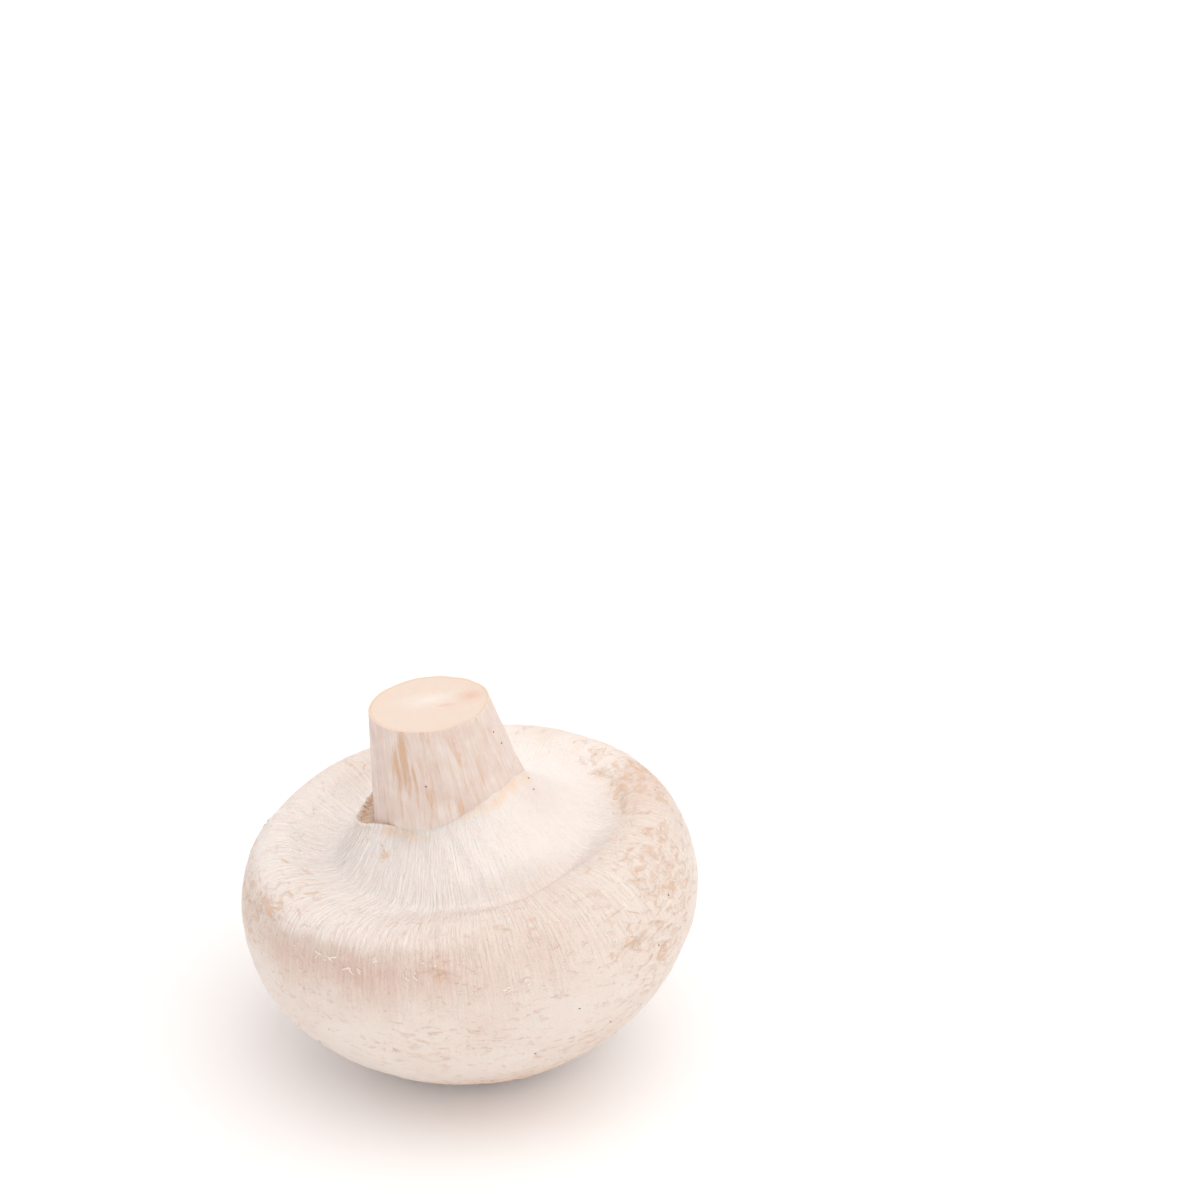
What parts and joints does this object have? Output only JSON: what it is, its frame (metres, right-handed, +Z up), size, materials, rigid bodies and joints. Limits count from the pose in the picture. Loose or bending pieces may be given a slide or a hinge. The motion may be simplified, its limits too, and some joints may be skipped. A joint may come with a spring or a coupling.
{
  "type": "button mushroom",
  "caption": "White button mushroom with a closed domed cap, a torn veil and a trimmed stem, lying on its crown with the cut end up.",
  "frame": {"origin": "middle of the object's box, on the surface that the mushroom lies on", "axes": "+Z up from the crown towards the cut stem; the cap leans about 7 degrees towards -X; -Y is the front, where the veil's tear shows at the left"},
  "size_m": [0.0498, 0.0492, 0.0433],
  "materials": {
    "cap_skin": "soft matt cream-white skin with faint fibres and tan bruises",
    "veil_film": "thin white silky membrane with radial folds",
    "stem_flesh": "damp pale beige flesh with fine lengthwise fibres"
  },
  "bodies": {
    "root": {"cap": "cap_skin", "veil": "veil_film", "stem": "stem_flesh"}
  },
  "joints": []
}
